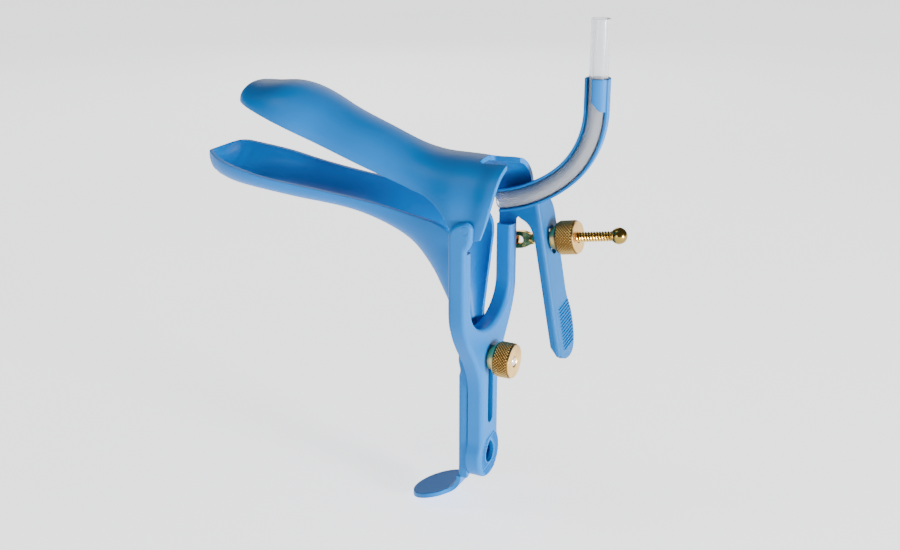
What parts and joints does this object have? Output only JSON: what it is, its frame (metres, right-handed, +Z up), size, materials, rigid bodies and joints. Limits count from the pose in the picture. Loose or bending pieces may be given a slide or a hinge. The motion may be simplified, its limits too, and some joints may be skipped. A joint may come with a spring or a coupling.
{
  "type": "bivalve speculum",
  "caption": "Bivalve speculum with pressed duck-bill blades, a yoke on a height slide, a thumb lever with angle rod and stop nut, and a channel that holds a clear smoke tube.",
  "frame": {"origin": "on the mid-plane, on the proximal face of the yoke's web, in line with the height stud", "axes": "+Y towards the blade tips, +Z up, +X towards the thumb lever"},
  "size_m": [0.0513, 0.1477, 0.1702],
  "materials": {
    "blade_coat": "satin insulating coat",
    "yoke_coat": "satin insulating coat",
    "lever_coat": "satin insulating coat, serrated thumb face",
    "nut_brass": "knurled rim, turned faces",
    "rod_brass": "bright, threaded",
    "stud_steel": "bright, threaded",
    "clear_tube": "clear, gloss"
  },
  "bodies": {
    "handle": {"lower_blade": "blade_coat", "height_stud": "stud_steel"},
    "yoke": {"yoke_frame": "yoke_coat", "hinge_pin_left": "yoke_coat", "hinge_pin_right": "yoke_coat", "rod_rivet": "rod_brass", "rod_washer": "rod_brass"},
    "upper_blade": {"upper_blade": "blade_coat", "thumb_lever": "lever_coat", "lever_rivet": "lever_coat", "smoke_channel": "blade_coat", "smoke_tube": "clear_tube"},
    "angle_rod": {"angle_rod": "rod_brass", "ball_stop": "rod_brass"},
    "angle_nut": {"angle_nut": "nut_brass"},
    "height_nut": {"height_nut": "nut_brass"}
  },
  "joints": [
    {"name": "height_slide", "type": "slide", "parent": "handle", "child": "yoke", "axis": [0, 0, 1], "range_m": [0, 0.022]},
    {"name": "blade_hinge", "type": "hinge", "parent": "yoke", "child": "upper_blade", "pos_m": [0, 0.0003, 0.0503], "axis": [1, 0, 0], "range_deg": [-14, 16]},
    {"name": "rod_pivot", "type": "hinge", "parent": "yoke", "child": "angle_rod", "pos_m": [0.0233, 0.0036, 0.0342], "axis": [1, 0, 0], "range_deg": [-14.5, 16.5]},
    {"name": "nut_travel", "type": "slide", "parent": "angle_rod", "child": "angle_nut", "axis": [0, -0.9848, 0.1736], "range_m": [-0.0045, 0.0041]},
    {"name": "height_nut_spin", "type": "hinge", "parent": "handle", "child": "height_nut", "pos_m": [0, 0, 0], "axis": [0, 1, 0], "continuous": true}
  ],
  "couplings": [
    {"joint": "rod_pivot", "follows": "blade_hinge", "ratio": 1},
    {"joint": "nut_travel", "follows": "blade_hinge", "m_per_rad": -0.015282}
  ]
}
